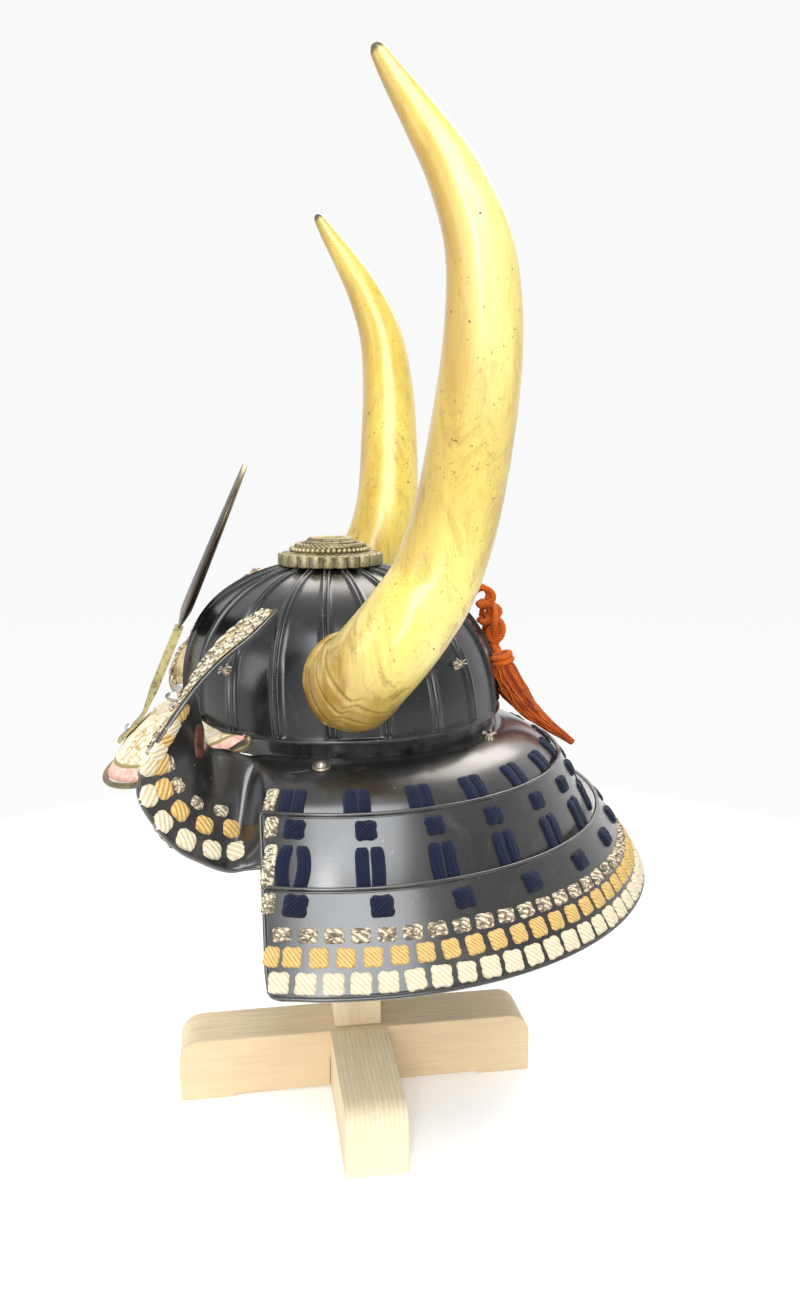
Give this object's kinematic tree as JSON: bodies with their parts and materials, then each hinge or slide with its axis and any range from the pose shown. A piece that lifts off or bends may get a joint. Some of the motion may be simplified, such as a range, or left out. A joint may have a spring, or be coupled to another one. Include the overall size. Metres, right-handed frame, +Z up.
{
  "type": "kabuto samurai helmet on a wooden stand",
  "caption": "Ridged black samurai helmet with tall side horns, front crest, brow peak, turnbacks, laced neck guard and rear tassels, on a crossed wooden stand.",
  "frame": {"origin": "centre of the bounding box, on the floor under the stand's feet", "axes": "+Z up, -Y the way the wearer faces, +X the wearer's left"},
  "size_m": [0.502, 0.4468, 0.7746],
  "materials": {
    "lacquer": "black lacquer over iron",
    "guard_lacquer": "black lacquer, softly worn",
    "bronze": "aged bronze",
    "brass": "aged brass",
    "dark_brass": "dark rolled brass",
    "crest_metal": "dark aged metal",
    "rivet_steel": "dull steel",
    "leather": "stencilled leather",
    "gilt_horn": "gilt lacquer over a light core, speckled",
    "orange_cord": "twisted silk cord",
    "stand_wood": "pale planed wood",
    "navy_lace": "flat braided silk lace",
    "pale_lace": "cross-knotted braid in cream, tan and flecks"
  },
  "bodies": {
    "root": {"bowl": "lacquer", "base_band": "lacquer", "crown_plate": "bronze", "crown_rope_ring": "bronze", "crown_collar": "bronze", "peak": "leather", "peak_rim": "dark_brass", "peak_rivet_middle": "rivet_steel", "peak_rivet_left": "rivet_steel", "peak_rivet_right": "rivet_steel", "crest_holder": "brass", "holder_rivet": "rivet_steel", "front_crest": "crest_metal", "horn_left": "gilt_horn", "horn_right": "gilt_horn", "horn_peg_left": "lacquer", "horn_peg_right": "lacquer", "lame_1": "guard_lacquer", "turnback_leather_left": "leather", "turnback_leather_right": "leather", "lame_2": "guard_lacquer", "lame_3": "guard_lacquer", "guard_stud_left": "brass", "guard_stud_right": "brass", "rear_post": "brass", "rear_ring": "brass", "rear_bow": "orange_cord", "tassel_left": "orange_cord", "tassel_right": "orange_cord", "stand_side_beam": "stand_wood", "stand_front_beam": "stand_wood", "stand_post": "stand_wood", "stand_head": "stand_wood"}
  },
  "joints": []
}
